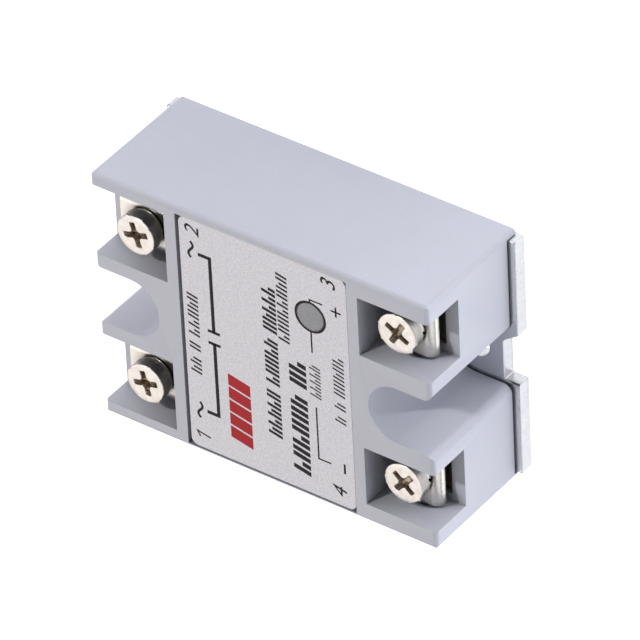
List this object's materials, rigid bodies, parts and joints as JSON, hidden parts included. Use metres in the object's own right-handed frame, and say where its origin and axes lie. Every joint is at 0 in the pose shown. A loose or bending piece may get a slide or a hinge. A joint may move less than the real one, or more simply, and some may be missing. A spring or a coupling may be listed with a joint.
{
  "type": "solid state relay",
  "caption": "Panel-mount solid state relay: grey housing with slotted ends on an aluminium base plate, screw terminals in open pockets and a silver label with a status window.",
  "frame": {"origin": "centre of the base plate's underside", "axes": "+Z out of the labelled face; +X along the lines of the label, from terminals 1 and 4 to terminals 2 and 3; +Y from the input terminals to the output terminals"},
  "size_m": [0.045, 0.063, 0.023],
  "materials": {
    "aluminium_plate": "bright sheared aluminium sheet",
    "grey_plastic": "light grey moulded thermoplastic with a fine texture",
    "epoxy": "black cast epoxy",
    "silver_label": "silver polyester face on a stiff 1 mm backing, printed black and red",
    "window": "grey diffusing plastic",
    "red_led": "clear red resin",
    "green_board": "glass-fibre board with green lacquer",
    "black_case": "black moulded case",
    "ceramic": "white alumina",
    "resistor_body": "blue lacquer",
    "power_resistor": "beige cement coating",
    "film_capacitor": "red boxed film capacitor",
    "copper": "tinned copper strip",
    "terminal_brass": "nickel-plated brass",
    "nickel": "bright nickel plate on steel",
    "nickel_screw": "bright nickel plate on steel"
  },
  "bodies": {
    "relay": {"base_plate": "aluminium_plate", "housing": "grey_plastic", "label_plate": "silver_label", "led_window": "window", "potting_compound": "epoxy", "status_led": "red_led", "circuit_board": "green_board", "optocoupler": "black_case", "triac": "black_case", "triac_insulator": "ceramic", "input_resistor": "resistor_body", "input_diode": "black_case", "current_limit_transistor": "black_case", "gate_resistor_1": "resistor_body", "gate_resistor_2": "resistor_body", "snubber_resistor": "power_resistor", "snubber_capacitor": "film_capacitor", "output_strap_1": "copper", "output_strap_2": "copper", "terminal_1": "terminal_brass", "terminal_2": "terminal_brass", "terminal_3": "terminal_brass", "terminal_4": "terminal_brass"},
    "clamp_1": {"clamp_plate_1": "nickel"},
    "screw_1": {"terminal_screw_1": "nickel_screw", "lock_washer_1": "nickel"},
    "clamp_2": {"clamp_plate_2": "nickel"},
    "screw_2": {"terminal_screw_2": "nickel_screw", "lock_washer_2": "nickel"},
    "clamp_3": {"clamp_plate_3": "nickel"},
    "screw_3": {"terminal_screw_3": "nickel_screw", "lock_washer_3": "nickel"},
    "clamp_4": {"clamp_plate_4": "nickel"},
    "screw_4": {"terminal_screw_4": "nickel_screw", "lock_washer_4": "nickel"}
  },
  "joints": [
    {"name": "screw_1_travel", "type": "slide", "parent": "relay", "child": "clamp_1", "axis": [0, 0, 1], "range_m": [-0.0009, 0.0012]},
    {"name": "screw_1_turn", "type": "hinge", "parent": "clamp_1", "child": "screw_1", "pos_m": [-0.0139, 0.0225, 0.021], "axis": [0, 0, 1], "range_deg": [-541, 721]},
    {"name": "screw_2_travel", "type": "slide", "parent": "relay", "child": "clamp_2", "axis": [0, 0, 1], "range_m": [-0.0009, 0.0012]},
    {"name": "screw_2_turn", "type": "hinge", "parent": "clamp_2", "child": "screw_2", "pos_m": [0.0139, 0.0225, 0.021], "axis": [0, 0, 1], "range_deg": [-541, 721]},
    {"name": "screw_3_travel", "type": "slide", "parent": "relay", "child": "clamp_3", "axis": [0, 0, 1], "range_m": [-0.00135, 0.0015]},
    {"name": "screw_3_turn", "type": "hinge", "parent": "clamp_3", "child": "screw_3", "pos_m": [0.0139, -0.0235, 0.01945], "axis": [0, 0, 1], "range_deg": [-811, 901]},
    {"name": "screw_4_travel", "type": "slide", "parent": "relay", "child": "clamp_4", "axis": [0, 0, 1], "range_m": [-0.00135, 0.0015]},
    {"name": "screw_4_turn", "type": "hinge", "parent": "clamp_4", "child": "screw_4", "pos_m": [-0.0139, -0.0235, 0.01945], "axis": [0, 0, 1], "range_deg": [-811, 901]}
  ],
  "couplings": [
    {"joint": "screw_1_turn", "follows": "screw_1_travel", "rad_per_m": 10472},
    {"joint": "screw_2_turn", "follows": "screw_2_travel", "rad_per_m": 10472},
    {"joint": "screw_3_turn", "follows": "screw_3_travel", "rad_per_m": 10472},
    {"joint": "screw_4_turn", "follows": "screw_4_travel", "rad_per_m": 10472}
  ]
}
